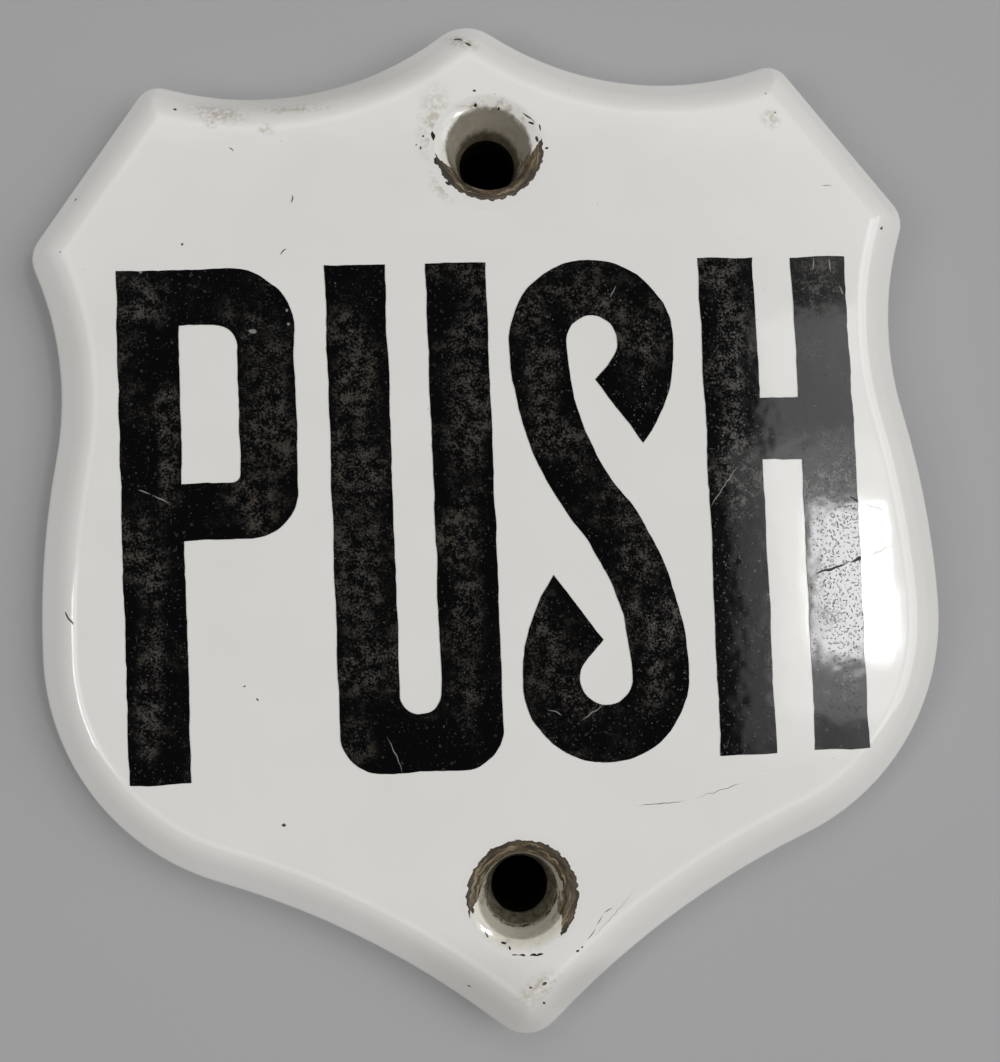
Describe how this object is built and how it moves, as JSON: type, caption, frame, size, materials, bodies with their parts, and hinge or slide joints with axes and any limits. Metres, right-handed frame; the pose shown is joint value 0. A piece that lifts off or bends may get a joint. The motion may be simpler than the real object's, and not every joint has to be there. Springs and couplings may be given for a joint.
{
  "type": "door finger plate",
  "caption": "Small shield-shaped glazed ceramic push plate with a bevelled edge, two countersunk screw holes and the fired word PUSH, screwed to a door where hands push it.",
  "frame": {"origin": "on the flat back face, midway between the two screw holes", "axes": "+X to the right seen from the front, +Y from the lower screw hole to the upper one, +Z out of the glazed face"},
  "size_m": [0.0684, 0.0771, 0.0065],
  "materials": {
    "white_glaze": "clear gloss glaze over a warm white body, slightly uneven",
    "black_enamel": "satin black fired enamel, slightly mottled"
  },
  "bodies": {
    "root": {"shield_plate": "white_glaze", "lettering": "black_enamel"}
  },
  "joints": []
}
